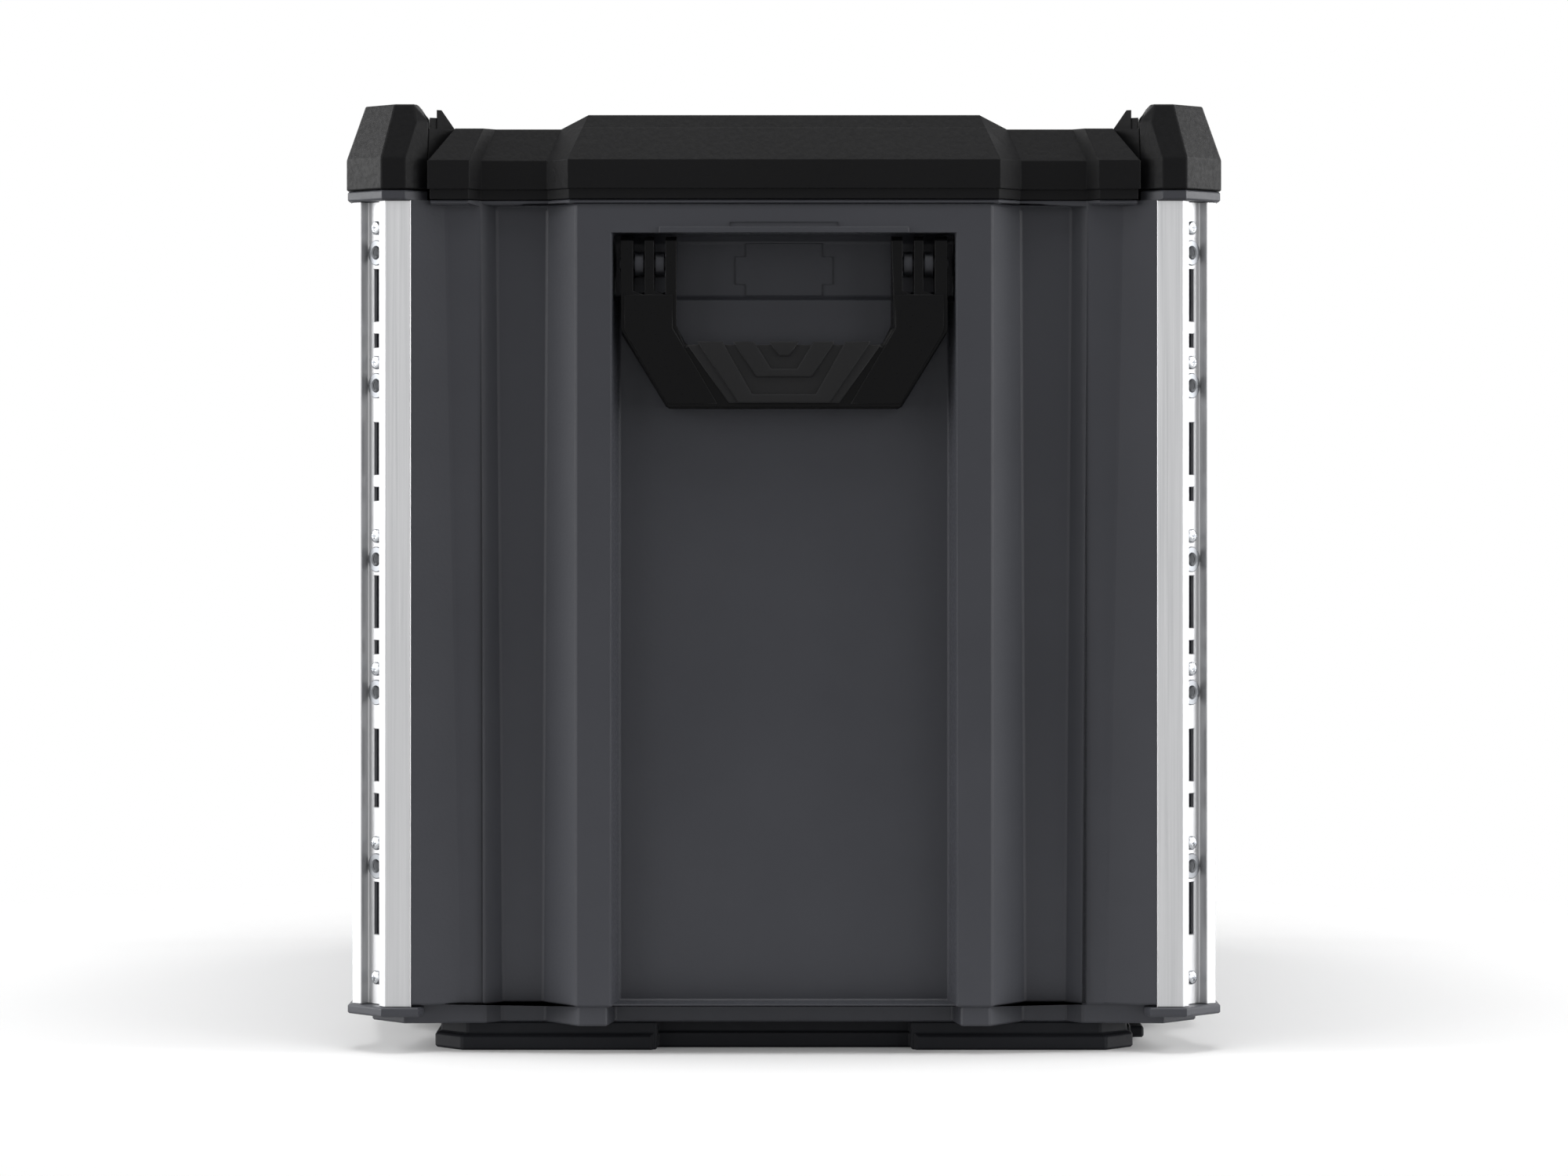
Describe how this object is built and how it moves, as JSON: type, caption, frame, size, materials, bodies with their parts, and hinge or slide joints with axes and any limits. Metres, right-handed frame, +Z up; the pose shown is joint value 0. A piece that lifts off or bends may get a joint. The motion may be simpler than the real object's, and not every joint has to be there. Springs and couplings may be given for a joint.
{
  "type": "stackable tool chest",
  "caption": "Stackable tool chest with a ribbed tub, hinged lid with corner towers, slotted corner rails, latches and swinging carry handles.",
  "frame": {"origin": "middle of the underside, at floor level", "axes": "+Z up, -X the latch side, +X the hinge side, Y along the chest from handle to handle"},
  "size_m": [0.412, 0.56, 0.432],
  "materials": {
    "grey_plastic": "satin",
    "black_plastic": "satin",
    "grip_plastic": "matte",
    "seal_rubber": "matte",
    "rail_aluminium": "brushed",
    "zinc_steel": "satin"
  },
  "bodies": {
    "chest_body": {"tub": "grey_plastic", "stacking_base": "grey_plastic", "corner_rail_front_near": "rail_aluminium", "corner_rail_rear_near": "rail_aluminium", "corner_rail_front_far": "rail_aluminium", "corner_rail_rear_far": "rail_aluminium", "rail_screws_front_near": "zinc_steel", "rail_screws_rear_near": "zinc_steel", "rail_screws_front_far": "zinc_steel", "rail_screws_rear_far": "zinc_steel", "rail_inserts_front_near": "zinc_steel", "rail_inserts_rear_near": "zinc_steel", "rail_inserts_front_far": "zinc_steel", "rail_inserts_rear_far": "zinc_steel", "hinge_base_near": "black_plastic", "hinge_base_far": "black_plastic", "hinge_pin_near": "zinc_steel", "hinge_pin_far": "zinc_steel", "latch_keeper_near": "black_plastic", "latch_keeper_far": "black_plastic", "handle_pins_near": "zinc_steel", "handle_pins_far": "zinc_steel"},
    "lid_body": {"lid": "black_plastic", "lid_gasket": "seal_rubber", "lid_tower_front_near": "black_plastic", "lid_tower_rear_near": "black_plastic", "lid_tower_front_far": "black_plastic", "lid_tower_rear_far": "black_plastic", "hinge_leaf_near": "black_plastic", "hinge_leaf_far": "black_plastic", "latch_ears_near": "black_plastic", "latch_ears_far": "black_plastic", "latch_pin_near": "zinc_steel", "latch_pin_far": "zinc_steel"},
    "latch_near_body": {"latch_lever_near": "black_plastic"},
    "latch_far_body": {"latch_lever_far": "black_plastic"},
    "handle_near_body": {"handle_near": "grip_plastic", "grip_pad_near": "grip_plastic"},
    "handle_far_body": {"handle_far": "grip_plastic", "grip_pad_far": "grip_plastic"}
  },
  "joints": [
    {"name": "lid_hinge", "type": "hinge", "parent": "chest_body", "child": "lid_body", "pos_m": [0.2015, 0, 0.391], "axis": [0, 1, 0], "range_deg": [0, 100]},
    {"name": "latch_near_pivot", "type": "hinge", "parent": "lid_body", "child": "latch_near_body", "pos_m": [-0.2017, -0.127, 0.401], "axis": [0, 1, 0], "range_deg": [0, 110]},
    {"name": "latch_far_pivot", "type": "hinge", "parent": "lid_body", "child": "latch_far_body", "pos_m": [-0.2017, 0.127, 0.401], "axis": [0, 1, 0], "range_deg": [0, 110]},
    {"name": "handle_near_pivot", "type": "hinge", "parent": "chest_body", "child": "handle_near_body", "pos_m": [0, -0.269, 0.3592], "axis": [-1, 0, 0], "range_deg": [0, 100]},
    {"name": "handle_far_pivot", "type": "hinge", "parent": "chest_body", "child": "handle_far_body", "pos_m": [0, 0.269, 0.3592], "axis": [1, 0, 0], "range_deg": [0, 100]}
  ]
}
